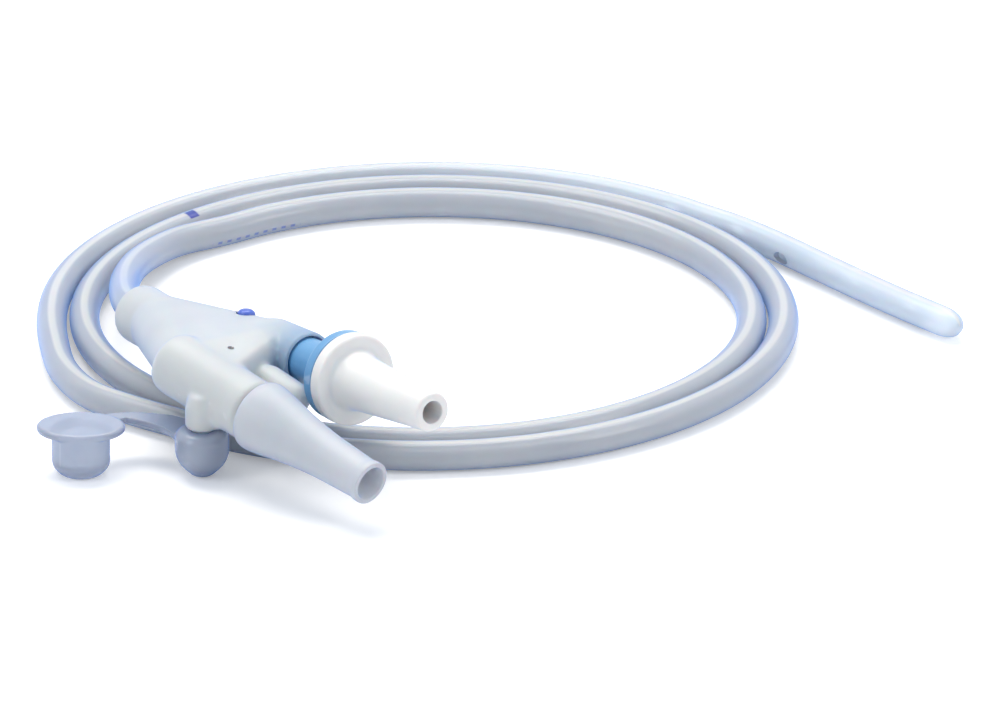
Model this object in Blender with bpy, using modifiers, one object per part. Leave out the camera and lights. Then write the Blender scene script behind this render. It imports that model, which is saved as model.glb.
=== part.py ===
"""Gastric sump tube: a double-lumen tube lying in flat turns, with a Y port, a suction adapter, an
anti-reflux valve and a captive plug on a strap. Metres, +Z up, the floor at z = 0."""

import math

import bmesh
import bpy
from mathutils import Matrix, Vector

MM = 0.001
UP = Vector((0, 0, 1))

# Frame: the coil's centre in the part's own frame, whose origin is the middle of the base
COIL_CENTRE = (-14.785, 12.73)

# Tube, in millimetres
TUBE_RADIUS = 3.0
MAIN_LUMEN = {"radius": 1.75, "side": 0.0, "up": -0.5}
VENT_LUMEN = {"radius": 0.55, "side": 0.7, "up": 1.93}
TUBE_SIDES = 12
LUMEN_SIDES = 8
EYE_RADIUS = 1.15
EYE_STRETCH = 1.7
# Distance of each drainage eye from the tip, and the side of the tube that it is on
EYES = ((16, 1), (33, 1), (50, -1), (67, 1), (84, 1))
LUMEN_END = 9.0
VENT_END = 42.0

# Coil: an oval spiral, one pitch wider at each turn, measured from the back of its first turn
COIL_HALF_WIDTH = 63.5
COIL_HALF_DEPTH = 57.6
COIL_PITCH = 6.4
POINTS_PER_TURN = 28
FIRST_COIL_POINT = -3
LAST_COIL_POINT = 59
# The outer turn is pushed out into a corner at its front left
CORNER_TURN = 1.676
CORNER_SPAN = 0.042
CORNER_PUSH = Vector((-2.6, -3.6, 0))
CORNER_POINTS = range(44, 49)

# The tube's way from the port down to the coil, and from the coil to the tip
LEAD_IN_SLEEVE = (15.3, 7.5, -0.8)
LEAD = (
    (-58.9, -15.9, 12.5),
    (-59.9, -10.6, 11.5),
    (-60.4, -0.6, 9.3),
    (-60.0, 10.0, 7.3),
    (-58.2, 19.8, 5.9),
    (-54.8, 28.6, 4.7),
    (-49.6, 36.6, 3.7),
)
TAIL = (
    (54.4, 50.4, 3.0),
    (62.4, 43.8, 3.0),
    (70.4, 35.6, 3.0),
    (78.6, 26.0, 3.0),
    (86.8, 16.4, 3.0),
    (95.0, 7.2, 3.0),
    (103.0, -1.2, 3.0),
)
TIP_DIRECTION = Vector((0.69, -0.724, 0))
# The tip's round nose: distance beyond the route's last point, and the share of the radius left there
NOSE = ((2.3, 0.94), (3.9, 0.74), (4.9, 0.46), (5.3, 0.16))

# Y port. Its bores are turned a little, so that their facets don't meet those of the outside
BORE_TWIST = math.radians(4)
INLET = Vector((-57.0, -20.6, 13.2))
TRUNK_DIRECTION = Vector((0.46, -0.88, 0.11)).normalized()
TRUNK_RADIUS = 6.0
INLET_BORE = 3.3
INLET_DEPTH = 15.8
SLEEVE_LENGTH = 11.0
WEB_START = 8.0
WEB_START_RADIUS = 5.3

# Suction branch: its root is where the adapter's skirt begins
SUCTION_ROOT = Vector((-33.2, -73.0, 14.7))
SUCTION_DIRECTION = Vector((0.694, -0.704, -0.152)).normalized()
NECK_RADIUS = 5.2
NECK_LENGTH = 10.0
NECK_BORE = 3.0
SUCTION_WAY_RADIUS = 1.75
VENT_WAY_RADIUS = 0.8
SUCTION_SHOULDER = 9.0
SUCTION_SHOULDER_RADIUS = 6.3
# The branch runs on behind the shoulder, up to the side of the inlet sleeve, where it ends round
SUCTION_BRANCH_LENGTH = 21.0
# A rounded gusset fills the fork between the two branches
GUSSET_FROM = Vector((-33.0, -57.5, 16.0))
GUSSET_TO = Vector((-26.5, -63.5, 14.0))
GUSSET_RADIUS = 3.5

# Suction adapter
ADAPTER_LENGTH = 32.5
# Distance from the root and radius of the flared outside
ADAPTER_FLARE = ((1.2, 7.3), (4.5, 6.9), (9.0, 6.1), (14.0, 5.3), (20.0, 4.7), (29.5, 4.25))
ADAPTER_TIP_RADIUS = 4.5
ADAPTER_BORE = 3.2
FIT_GAP = 0.3

# Vent branch: its centre is the middle of the valve's white disc
VALVE_CENTRE = Vector((-14.6, -65.4, 18.9))
VENT_DIRECTION = Vector((0.580, -0.809, 0.097)).normalized()
MOUTH_BACK = 14.6
SOCKET_RADIUS = 5.7
SOCKET_DEPTH = 12.5
VENT_SHOULDER = 8.5

# Anti-reflux valve
WHITE_DISC_RADIUS = 9.3
BLUE_DISC_RADIUS = 9.1
DISC_HALF = 1.2
BLUE_DISC_THICKNESS = 2.4
BLUE_NECK_RADIUS = 4.6
BLUE_TIP_RADIUS = 4.1
NOZZLE_LENGTH = 27.8
NOZZLE_BASE_RADIUS = 5.3
NOZZLE_TIP_RADIUS = 3.8
BLUE_BORE = 2.6
VALVE_BORE = 2.9
NOZZLE_BORE = 2.3
# The chamber between the two halves, which holds the filter and the duckbill's flange
CHAMBER_RADIUS = 7.0
CHAMBER_DEPTH = 1.2
MEMBRANE_RADIUS = 6.6

# Plug strap
PLUG_AT = Vector((-68.2, -68.2, 0))
PLUG_RADIUS = 5.8
PLUG_HEIGHT = 10.0
# The plug's flange is an oval, wider across than from front to back
FLANGE_RADIUS = 8.8
FLANGE_DEPTH_SHARE = 0.72
FLANGE_OFFSET = Vector((0, 0.7, 0))
FLANGE_THICKNESS = 1.6
BOSS_AT = Vector((-44.2, -69.4, 0))
BOSS_RADIUS = 5.4
BOSS_HEIGHT = 9.8
BOSS_ROUNDING = 3.4
PEG_RADIUS = 2.0
PEG_FOOT_RADIUS = 3.4
STRAP_THICKNESS = 1.3
STRAP_TOP = 8.6
# The strap's two edges between its discs, seen from above and measured from the boss
STRAP_FRONT_EDGE = [(-15.3, 8.2), (-13.2, 7.5), (-11.0, 6.1), (-8.0, 3.7), (-6.2, 0.0)]
STRAP_BACK_EDGE = [(-3.5, 8.2), (-7.9, 10.2), (-13.0, 11.0), (-18.5, 10.4)]

# Blue mark on the vent side
MARK_AT = Vector((-35.6, -38.4, 20.85))
MARK_NORMAL = Vector((0.05, 0.2, 0.98)).normalized()
MARK_RADIUS = 1.9


def clear_scene():
    for thing in list(bpy.data.objects):
        bpy.data.objects.remove(thing, do_unlink=True)


def new_collection(name, is_helper=False):
    collection = bpy.data.collections.new(name)
    bpy.context.scene.collection.children.link(collection)
    collection.hide_render = is_helper
    return collection


clear_scene()
PARTS = new_collection("gastric_sump_tube")
CUTTERS = new_collection("cutters", is_helper=True)


def new_empty(name, location, direction=UP, parent=None):
    """An axis of the object: its own Z lies along the direction."""
    empty = bpy.data.objects.new(name, None)
    empty.empty_display_size = 5 * MM
    PARTS.objects.link(empty)
    empty.parent = parent
    empty.location = location * MM
    empty.rotation_euler = UP.rotation_difference(direction).to_euler()
    return empty


def finish(name, rgb, roughness, alpha=1.0):
    material = bpy.data.materials.new(name)
    material.use_nodes = True
    shader = material.node_tree.nodes["Principled BSDF"]
    shader.inputs["Base Color"].default_value = (*rgb, 1)
    shader.inputs["Roughness"].default_value = roughness
    shader.inputs["Metallic"].default_value = 0.0
    shader.inputs["Alpha"].default_value = alpha
    return material


CLEAR_PVC = finish("clear_bluish_pvc", (0.60, 0.66, 0.76), 0.15, 0.75)
FROSTED_PVC = finish("frosted_pvc", (0.70, 0.72, 0.72), 0.4)
FROSTED_ADAPTER = finish("frosted_adapter", (0.68, 0.71, 0.76), 0.35)
BLUE_PLASTIC = finish("blue_plastic", (0.12, 0.33, 0.62), 0.3)
WHITE_PLASTIC = finish("white_plastic", (0.86, 0.85, 0.82), 0.35)
SILICONE = finish("silicone", (0.75, 0.74, 0.70), 0.5)
MEMBRANE = finish("filter_membrane", (0.88, 0.88, 0.86), 0.8)
CLEAR_STRAP = finish("clear_strap", (0.56, 0.64, 0.80), 0.15, 0.8)


def add_object(name, data, parent, material=None, helper=False):
    made = bpy.data.objects.new(name, data)
    (CUTTERS if helper else PARTS).objects.link(made)
    made.parent = parent
    if helper:
        made.hide_render = True
        made.display_type = "WIRE"
    if material:
        data.materials.append(material)
    return made


def object_from_bmesh(name, bm, parent, material=None, helper=False):
    mesh = bpy.data.meshes.new(name)
    bm.to_mesh(mesh)
    bm.free()
    return add_object(name, mesh, parent, material, helper)


def turned(name, profile, parent, material=None, helper=False, sides=24, offset=Vector((0, 0, 0)),
           twist=0):
    """A turned shape round the parent's own Z. The profile's points are (radius, height), down the outer
    side. One that starts and ends off the axis is closed on itself, which leaves a bore."""
    bm = bmesh.new()
    points = [bm.verts.new((r * MM, 0, z * MM)) for r, z in profile]
    for one, other in zip(points, points[1:]):
        bm.edges.new((one, other))
    if profile[0][0] > 0 and profile[-1][0] > 0:
        bm.edges.new((points[-1], points[0]))
    made = object_from_bmesh(name, bm, parent, material, helper)
    made.location = offset * MM
    made.rotation_euler.z = twist
    screw = made.modifiers.new("turn", "SCREW")
    screw.axis = "Z"
    screw.steps = sides
    screw.render_steps = sides
    screw.use_merge_vertices = True
    screw.merge_threshold = 0.00001
    screw.use_smooth_shade = True
    return made


def mesh_of(curve_object):
    """The object as a mesh, with its caps welded on and its place kept."""
    graph = bpy.context.evaluated_depsgraph_get()
    bpy.context.view_layer.update()
    mesh = bpy.data.meshes.new_from_object(curve_object.evaluated_get(graph))
    bm = bmesh.new()
    bm.from_mesh(mesh)
    bmesh.ops.remove_doubles(bm, verts=bm.verts, dist=0.00001)
    bm.to_mesh(mesh)
    bm.free()
    name, parent, place = curve_object.name, curve_object.parent, curve_object.matrix_world.copy()
    helper = curve_object.hide_render
    bpy.data.objects.remove(curve_object, do_unlink=True)
    made = add_object(name, mesh, parent, helper=helper)
    made.matrix_world = place
    return made


def swept(name, points, radius, parent, sides, radii=None, material=None, helper=False):
    """A round bar through the points, as a mesh. A share of the radius may be given for each point."""
    curve = bpy.data.curves.new(name, "CURVE")
    curve.dimensions = "3D"
    curve.twist_mode = "Z_UP"
    curve.bevel_depth = radius * MM
    curve.bevel_resolution = sides // 2 - 2
    curve.use_fill_caps = True
    spline = curve.splines.new("POLY")
    spline.points.add(len(points) - 1)
    for number, (point, place) in enumerate(zip(spline.points, points)):
        point.co = (*(Vector(place) * MM), 1)
        point.radius = radii[number] if radii else 1.0
    made = mesh_of(add_object(name, curve, parent, helper=helper))
    if material:
        made.data.materials.clear()
        made.data.materials.append(material)
    made.data.shade_smooth()
    made.data.set_sharp_from_angle(angle=math.radians(50))
    return made


def boolean(target, other, operation):
    modifier = target.modifiers.new(operation.lower() + "_" + other.name, "BOOLEAN")
    modifier.operation = operation
    modifier.solver = "EXACT"
    modifier.object = other


def cut(target, *cutters):
    for cutter in cutters:
        boolean(target, cutter, "DIFFERENCE")


def join(target, *others):
    for other in others:
        boolean(target, other, "UNION")


def coil_point(turn):
    angle = math.radians(90 - 360 * turn)
    across = COIL_HALF_WIDTH + COIL_PITCH * turn
    along = COIL_HALF_DEPTH + COIL_PITCH * turn
    corner = math.exp(-(((turn - CORNER_TURN) / CORNER_SPAN) ** 2))
    return Vector((across * math.cos(angle), along * math.sin(angle), TUBE_RADIUS)) + CORNER_PUSH * corner


def tube_route():
    steps = list(range(FIRST_COIL_POINT, LAST_COIL_POINT + 1)) + [n + 0.5 for n in CORNER_POINTS]
    coil = [coil_point(n / POINTS_PER_TURN) for n in sorted(steps)]
    sleeve = [INLET + TRUNK_DIRECTION * depth for depth in LEAD_IN_SLEEVE]
    return sleeve + [Vector(p) for p in LEAD] + coil + [Vector(p) for p in TAIL]


def section_frames(route):
    """The tube's tangent, side and up directions at each point of the route."""
    frames = []
    for number in range(len(route)):
        before = route[max(number - 1, 0)]
        after = route[min(number + 1, len(route) - 1)]
        tangent = (after - before).normalized()
        side = tangent.cross(UP).normalized()
        frames.append((tangent, side, side.cross(tangent)))
    return frames


def offset_route(route, frames, side, up):
    return [p + frame[1] * side + frame[2] * up for p, frame in zip(route, frames)]


def cut_short(points, length):
    """The points without the last stretch of this length."""
    left = list(points)
    while length > 0:
        step = (left[-1] - left[-2]).length
        if step > length:
            left[-1] = left[-1].lerp(left[-2], length / step)
        else:
            left.pop()
        length -= step
    return left


def lumen_cutter(name, lumen, route, frames, end):
    path = offset_route(route, frames, lumen["side"], lumen["up"])
    path = cut_short(path, end)
    start = path[0] + (path[0] - path[1]).normalized() * 3
    return swept(name, [start] + path, lumen["radius"], coil_frame, LUMEN_SIDES, helper=True)


def drainage_eyes(route):
    """One oval cutter for each drainage eye, through the wall into the main lumen."""
    cutters = []
    for number, (distance, side) in enumerate(EYES):
        path = cut_short(route, distance - NOSE[-1][0])
        tangent = (path[-1] - path[-2]).normalized()
        outward = tangent.cross(UP) * -side
        bm = bmesh.new()
        bmesh.ops.create_cone(
            bm, cap_ends=True, segments=12, radius1=EYE_RADIUS * MM, radius2=EYE_RADIUS * MM, depth=3.2 * MM
        )
        place = Matrix((tangent, outward.cross(tangent), outward)).transposed().to_4x4()
        stretch = Matrix.Diagonal((EYE_STRETCH, 1, 1, 1))
        centre = (path[-1] + outward * 2.2 - UP * 0.4) * MM
        bm.transform(Matrix.Translation(centre) @ place @ stretch)
        cutters.append(object_from_bmesh("eye_cutter_%d" % number, bm, coil_frame, helper=True))
    return cutters


def build_sump_tube():
    route = tube_route()
    frames = section_frames(route)
    nose = [route[-1] + TIP_DIRECTION * ahead for ahead, _ in NOSE]
    radii = [1.0] * len(route) + [share for _, share in NOSE]
    tube = swept("sump_tube", route + nose, TUBE_RADIUS, coil_frame, TUBE_SIDES, radii, CLEAR_PVC)
    main = lumen_cutter("main_lumen_cutter", MAIN_LUMEN, route, frames, LUMEN_END - NOSE[-1][0])
    vent = lumen_cutter("vent_lumen_cutter", VENT_LUMEN, route, frames, VENT_END - NOSE[-1][0])
    cut(tube, main, vent, *drainage_eyes(route))


def ring(bm, centre, direction, radius, sides=20):
    """A circle of loose points square to a direction."""
    turn = direction.to_track_quat("Z", "Y").to_matrix().to_4x4()
    place = Matrix.Translation(centre * MM) @ turn
    made = bmesh.ops.create_circle(bm, cap_ends=False, segments=sides, radius=radius * MM, matrix=place)
    return made["verts"]


def port_web():
    """The flat, rounded web between the inlet sleeve and the two branches."""
    bm = bmesh.new()
    ring(bm, INLET + TRUNK_DIRECTION * WEB_START, TRUNK_DIRECTION, WEB_START_RADIUS)
    shoulder = SUCTION_ROOT - SUCTION_DIRECTION * SUCTION_SHOULDER
    ring(bm, shoulder, SUCTION_DIRECTION, SUCTION_SHOULDER_RADIUS - 0.2)
    ring(bm, mouth() - VENT_DIRECTION * VENT_SHOULDER, VENT_DIRECTION, SOCKET_RADIUS - 0.2)
    hull = bmesh.ops.convex_hull(bm, input=bm.verts)
    inside = {g for g in hull["geom_interior"] + hull["geom_unused"] if isinstance(g, bmesh.types.BMVert)}
    bmesh.ops.delete(bm, geom=list(inside), context="VERTS")
    bmesh.ops.recalc_face_normals(bm, faces=bm.faces)
    web = object_from_bmesh("y_port", bm, coil_frame, FROSTED_PVC)
    web.data.shade_smooth()
    web.data.set_sharp_from_angle(angle=math.radians(50))
    return web


def mouth():
    return VALVE_CENTRE - VENT_DIRECTION * MOUTH_BACK


def rounded_end(radius, length, steps=4):
    """Profile points of a bar's round end, from the axis down to its full radius."""
    turns = [math.pi / 2 * n / steps for n in range(steps + 1)]
    return [(radius * math.sin(a), length + radius * math.cos(a)) for a in turns]


def build_y_port():
    port = port_web()
    inlet = new_empty("inlet_axis", INLET, TRUNK_DIRECTION, coil_frame)
    r = TRUNK_RADIUS
    sleeve = turned(
        "sleeve_union",
        [
            (0, SLEEVE_LENGTH),
            (r - 0.4, SLEEVE_LENGTH),
            (r, SLEEVE_LENGTH - 0.4),
            (r, 0.8),
            (r - 0.8, 0),
            (0, 0),
        ],
        inlet,
        helper=True,
    )
    back = -SUCTION_BRANCH_LENGTH
    neck = turned(
        "neck_union",
        [
            (0, NECK_LENGTH),
            (NECK_RADIUS - 0.6, NECK_LENGTH),
            (NECK_RADIUS, NECK_LENGTH - 1.2),
            (NECK_RADIUS, -1.2),
            (SUCTION_SHOULDER_RADIUS, -3),
            (SUCTION_SHOULDER_RADIUS, back),
            (SUCTION_SHOULDER_RADIUS - 0.6, back - 2.2),
            (SUCTION_SHOULDER_RADIUS - 2.2, back - 4.2),
            (0, back - 5.4),
        ],
        suction_axis,
        helper=True,
    )
    front = -MOUTH_BACK
    rear = front - SOCKET_DEPTH - 2.5
    socket = turned(
        "socket_union",
        [
            (0, front),
            (SOCKET_RADIUS - 0.4, front),
            (SOCKET_RADIUS, front - 0.6),
            (SOCKET_RADIUS, rear + 1.2),
            (SOCKET_RADIUS - 1.2, rear),
            (0, rear),
        ],
        vent_axis,
        helper=True,
    )
    peg_top = SUCTION_ROOT.z + 2.5
    foot = BOSS_HEIGHT + FIT_GAP
    peg = turned(
        "peg_union",
        [
            (0, peg_top),
            (PEG_FOOT_RADIUS - 1.2, peg_top),
            (PEG_FOOT_RADIUS, peg_top - 1.6),
            (PEG_FOOT_RADIUS, foot),
            (PEG_RADIUS, foot),
            (PEG_RADIUS, 2.9),
            (PEG_RADIUS - 0.4, 2.5),
            (0, 2.5),
        ],
        strap_pivot,
        helper=True,
        sides=16,
    )
    gusset_axis = new_empty("gusset_axis", GUSSET_FROM, GUSSET_TO - GUSSET_FROM, coil_frame)
    reach = (GUSSET_TO - GUSSET_FROM).length
    gusset = turned("gusset_union", rounded_end(GUSSET_RADIUS, reach) + [(0, 0)], gusset_axis, helper=True)
    join(port, sleeve, neck, socket, gusset, peg)
    tube_bore = turned(
        "tube_bore_cutter",
        [(0, INLET_DEPTH), (INLET_BORE, INLET_DEPTH), (INLET_BORE, -1), (0, -1)],
        inlet,
        helper=True,
        twist=BORE_TWIST,
    )
    side = TRUNK_DIRECTION.cross(UP).normalized()
    up = side.cross(TRUNK_DIRECTION)
    bottom = INLET + TRUNK_DIRECTION * (INLET_DEPTH - 0.8)
    main = bottom + up * MAIN_LUMEN["up"]
    vent = bottom + up * VENT_LUMEN["up"] + side * VENT_LUMEN["side"]
    neck_back = SUCTION_ROOT - SUCTION_DIRECTION * 3
    suction_line = [main, neck_back, SUCTION_ROOT + SUCTION_DIRECTION]
    suction_way = swept("suction_way_cutter", suction_line, SUCTION_WAY_RADIUS, coil_frame, 10, helper=True)
    neck_bore = turned(
        "neck_bore_cutter",
        [(0, NECK_LENGTH + 1), (NECK_BORE, NECK_LENGTH + 1), (NECK_BORE, -2), (0, -2)],
        suction_axis,
        helper=True,
        twist=BORE_TWIST,
    )
    socket_bore = turned(
        "socket_bore_cutter",
        [
            (0, front + 1),
            (BLUE_NECK_RADIUS + FIT_GAP, front + 1),
            (BLUE_NECK_RADIUS + FIT_GAP, front - 2),
            (BLUE_TIP_RADIUS + FIT_GAP, front - SOCKET_DEPTH),
            (0, front - SOCKET_DEPTH),
        ],
        vent_axis,
        helper=True,
        twist=BORE_TWIST,
    )
    vent_bottom = mouth() - VENT_DIRECTION * (SOCKET_DEPTH - 1)
    vent_way = swept("vent_way_cutter", [vent, vent_bottom], VENT_WAY_RADIUS, coil_frame, 8, helper=True)
    mark_hole = turned(
        "mark_hole_cutter",
        [(0, 2), (MARK_RADIUS + FIT_GAP, 2), (MARK_RADIUS + FIT_GAP, -1.4), (0, -1.4)],
        mark_axis,
        helper=True,
        sides=16,
    )
    cut(port, tube_bore, suction_way, neck_bore, socket_bore, vent_way, mark_hole)


def build_vent_mark():
    turned(
        "vent_mark",
        [(0, 1.1), (0.9, 1.0), (1.5, 0.65), (MARK_RADIUS, 0.1), (MARK_RADIUS, -1.1), (0, -1.1)],
        mark_axis,
        BLUE_PLASTIC,
        sides=16,
    )


def build_suction_adapter():
    skirt = NECK_RADIUS + FIT_GAP
    length, tip = ADAPTER_LENGTH, ADAPTER_TIP_RADIUS
    root = ADAPTER_FLARE[0][1]
    turned(
        "suction_adapter",
        [
            (ADAPTER_BORE + 0.3, length),
            (tip - 0.3, length),
            (tip, length - 0.4),
            (tip, length - 1.3),
        ]
        + [(radius, ahead) for ahead, radius in reversed(ADAPTER_FLARE)]
        + [
            (root - 0.9, 0),
            (skirt, 0),
            (skirt, NECK_LENGTH + FIT_GAP),
            (ADAPTER_BORE, NECK_LENGTH + FIT_GAP),
            (ADAPTER_BORE, length - 1),
        ],
        suction_axis,
        FROSTED_ADAPTER,
        sides=32,
    )


def build_valve():
    blue_front = -DISC_HALF - FIT_GAP
    blue_back = blue_front - BLUE_DISC_THICKNESS
    nozzle_end = -MOUTH_BACK - SOCKET_DEPTH + 1.5
    turned(
        "valve_blue_half",
        [
            (CHAMBER_RADIUS, blue_front),
            (BLUE_DISC_RADIUS - 0.3, blue_front),
            (BLUE_DISC_RADIUS, blue_front - 0.3),
            (BLUE_DISC_RADIUS, blue_back + 0.5),
            (BLUE_DISC_RADIUS - 0.5, blue_back),
            (BLUE_NECK_RADIUS + 0.5, blue_back),
            (BLUE_NECK_RADIUS, blue_back - 0.6),
            (BLUE_NECK_RADIUS, -MOUTH_BACK - 2),
            (BLUE_TIP_RADIUS, nozzle_end),
            (BLUE_BORE, nozzle_end),
            (BLUE_BORE, blue_front - CHAMBER_DEPTH),
            (CHAMBER_RADIUS, blue_front - CHAMBER_DEPTH),
        ],
        vent_axis,
        BLUE_PLASTIC,
        sides=32,
    )
    turned(
        "valve_white_half",
        [
            (NOZZLE_BORE, NOZZLE_LENGTH),
            (NOZZLE_TIP_RADIUS - 0.3, NOZZLE_LENGTH),
            (NOZZLE_TIP_RADIUS, NOZZLE_LENGTH - 0.4),
            (NOZZLE_BASE_RADIUS, DISC_HALF + 0.5),
            (NOZZLE_BASE_RADIUS + 0.5, DISC_HALF),
            (WHITE_DISC_RADIUS - 0.7, DISC_HALF),
            (WHITE_DISC_RADIUS, DISC_HALF - 0.7),
            (WHITE_DISC_RADIUS, -DISC_HALF + 0.3),
            (WHITE_DISC_RADIUS - 0.3, -DISC_HALF),
            (CHAMBER_RADIUS, -DISC_HALF),
            (CHAMBER_RADIUS, -0.2),
            (VALVE_BORE, -0.2),
            (VALVE_BORE, 8),
            (NOZZLE_BORE, 10),
        ],
        vent_axis,
        WHITE_PLASTIC,
        sides=32,
    )
    turned(
        "filter_disc",
        [(0, -1.95), (MEMBRANE_RADIUS, -1.95), (MEMBRANE_RADIUS, -2.35), (0, -2.35)],
        vent_axis,
        MEMBRANE,
    )
    bill = turned(
        "duckbill_valve",
        [
            (0, 6.0),
            (0.5, 6.0),
            (2.4, 1.4),
            (2.4, -0.5),
            (MEMBRANE_RADIUS, -0.5),
            (MEMBRANE_RADIUS, -1.1),
            (0, -1.1),
        ],
        vent_axis,
        SILICONE,
    )
    inside = [(0, 4.4), (0.2, 4.4), (1.7, 1.0), (1.7, -2), (0, -2)]
    way = turned("bill_way_cutter", inside, vent_axis, helper=True)
    bm = bmesh.new()
    slit_place = Matrix.Translation((0, 0, 5 * MM)) @ Matrix.Diagonal((1.0 * MM, 0.3 * MM, 4 * MM, 1))
    bmesh.ops.create_cube(bm, size=1, matrix=slit_place)
    slit = object_from_bmesh("bill_slit_cutter", bm, vent_axis, helper=True)
    cut(bill, way, slit)


def disc_outline(centre, radius, first, last, count):
    """Points on an arc, from one angle to another in degrees."""
    turns = [math.radians(first + (last - first) * n / (count - 1)) for n in range(count)]
    return [(centre.x + radius * math.cos(t), centre.y + radius * math.sin(t)) for t in turns]


def strap_plate():
    """The strap's flat outline, from the boss round the plug's flange and back."""
    plug = PLUG_AT - BOSS_AT
    outline = disc_outline(plug, PLUG_RADIUS - 0.4, 80, 390, 20)
    outline += STRAP_FRONT_EDGE
    outline += disc_outline(Vector((0, 0, 0)), BOSS_RADIUS - 0.8, 205, 460, 18)
    outline += STRAP_BACK_EDGE
    curve = bpy.data.curves.new("strap_union", "CURVE")
    curve.dimensions = "2D"
    curve.fill_mode = "BOTH"
    curve.extrude = STRAP_THICKNESS / 2 * MM
    spline = curve.splines.new("POLY")
    spline.points.add(len(outline) - 1)
    for point, (x, y) in zip(spline.points, outline):
        point.co = (x * MM, y * MM, 0, 1)
    spline.use_cyclic_u = True
    plate = mesh_of(add_object("strap_union", curve, strap_pivot, helper=True))
    plate.location = Vector((0, 0, STRAP_TOP - STRAP_THICKNESS / 2)) * MM
    return plate


def build_plug_strap():
    plug = turned(
        "plug_strap",
        [
            (0, PLUG_HEIGHT - 0.3),
            (PLUG_RADIUS, PLUG_HEIGHT - 0.3),
            (PLUG_RADIUS, 1.6),
            (PLUG_RADIUS - 1.6, 0),
            (0, 0),
        ],
        strap_pivot,
        CLEAR_STRAP,
        sides=28,
        offset=PLUG_AT - BOSS_AT,
    )
    rim = PLUG_HEIGHT - FLANGE_THICKNESS
    flange = turned(
        "flange_union",
        [
            (0, PLUG_HEIGHT),
            (FLANGE_RADIUS - 0.6, PLUG_HEIGHT),
            (FLANGE_RADIUS, PLUG_HEIGHT - 0.5),
            (FLANGE_RADIUS, rim + 0.4),
            (FLANGE_RADIUS - 0.5, rim),
            (0, rim),
        ],
        strap_pivot,
        helper=True,
        sides=28,
        offset=PLUG_AT - BOSS_AT + FLANGE_OFFSET,
    )
    flange.scale.y = FLANGE_DEPTH_SHARE
    flat = BOSS_RADIUS - BOSS_ROUNDING
    turns = [math.pi / 2 * n / 4 for n in range(5)]
    rounding = [(flat + BOSS_ROUNDING * math.cos(a), BOSS_ROUNDING * (1 - math.sin(a))) for a in turns]
    top = [
        (0, BOSS_HEIGHT),
        (BOSS_RADIUS - 1.3, BOSS_HEIGHT),
        (BOSS_RADIUS - 0.35, BOSS_HEIGHT - 0.4),
        (BOSS_RADIUS, BOSS_HEIGHT - 1.3),
    ]
    boss = turned("boss_union", top + rounding + [(0, 0)], strap_pivot, helper=True)
    peg_hole = turned(
        "peg_hole_cutter",
        [
            (0, BOSS_HEIGHT + 2),
            (PEG_RADIUS + FIT_GAP, BOSS_HEIGHT + 2),
            (PEG_RADIUS + FIT_GAP, 2.2),
            (0, 2.2),
        ],
        strap_pivot,
        helper=True,
        sides=16,
    )
    join(plug, flange, strap_plate(), boss)
    cut(plug, peg_hole)


coil_frame = new_empty("coil_frame", Vector((*COIL_CENTRE, 0)))
suction_axis = new_empty("suction_axis", SUCTION_ROOT, SUCTION_DIRECTION, coil_frame)
vent_axis = new_empty("vent_axis", VALVE_CENTRE, VENT_DIRECTION, coil_frame)
strap_pivot = new_empty("strap_pivot", BOSS_AT, UP, coil_frame)
mark_axis = new_empty("mark_axis", MARK_AT, MARK_NORMAL, coil_frame)
bpy.context.view_layer.update()

build_sump_tube()
build_y_port()
build_vent_mark()
build_suction_adapter()
build_valve()
build_plug_strap()
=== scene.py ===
import math

import bmesh
import bpy
from mathutils import Matrix, Vector


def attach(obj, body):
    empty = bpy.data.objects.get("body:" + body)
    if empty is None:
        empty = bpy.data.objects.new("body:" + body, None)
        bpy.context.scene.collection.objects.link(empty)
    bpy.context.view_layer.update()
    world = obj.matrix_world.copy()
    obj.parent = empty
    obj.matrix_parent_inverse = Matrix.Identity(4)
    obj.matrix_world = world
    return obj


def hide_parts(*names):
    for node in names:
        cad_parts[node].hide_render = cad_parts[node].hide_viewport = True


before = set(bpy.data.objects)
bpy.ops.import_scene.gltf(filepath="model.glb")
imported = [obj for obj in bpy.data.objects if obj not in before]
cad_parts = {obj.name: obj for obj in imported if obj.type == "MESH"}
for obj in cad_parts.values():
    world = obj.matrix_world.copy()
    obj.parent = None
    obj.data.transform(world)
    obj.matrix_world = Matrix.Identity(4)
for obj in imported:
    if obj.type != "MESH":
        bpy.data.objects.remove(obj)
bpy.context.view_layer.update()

MM = 0.001
UP = Vector((0, 0, 1))

# The middle of the coil on the table, and the photograph's scale
COIL = Vector((-14.785, 12.73, 0))
PIXEL = 0.0002
PHOTO_WIDTH, PHOTO_HEIGHT = 1000, 728
COIL_IN_PHOTO = (426.0, 331.7)
ELEVATION = math.radians(24)
LENS = 1200

# The tube, in millimetres
TUBE_RADIUS = 3.0
# Each lumen's radius, and how far it lies beside and above the tube's middle line
MAIN_LUMEN = (1.75, 0.0, -0.5)
VENT_LUMEN = (0.55, 0.7, 1.93)
# How far from the tip each lumen ends
MAIN_END, VENT_END = 9.0, 42.0
# Each drainage eye's distance from the tip, and the side that it is on
EYES = ((16, 1), (33, 1), (50, -1), (67, 1), (84, 1))
EYE_RADIUS, EYE_STRETCH, EYE_CUT_DEPTH = 1.2, 1.7, 3.6
# The tip's round nose: distance beyond the route's last point, and the share of the radius left there
NOSE = (
    (0.9, 0.99), (1.7, 0.965), (2.4, 0.925), (3.1, 0.86), (3.8, 0.76), (4.4, 0.64), (4.85, 0.49), (5.15, 0.33),
    (5.3, 0.15),
)

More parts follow.
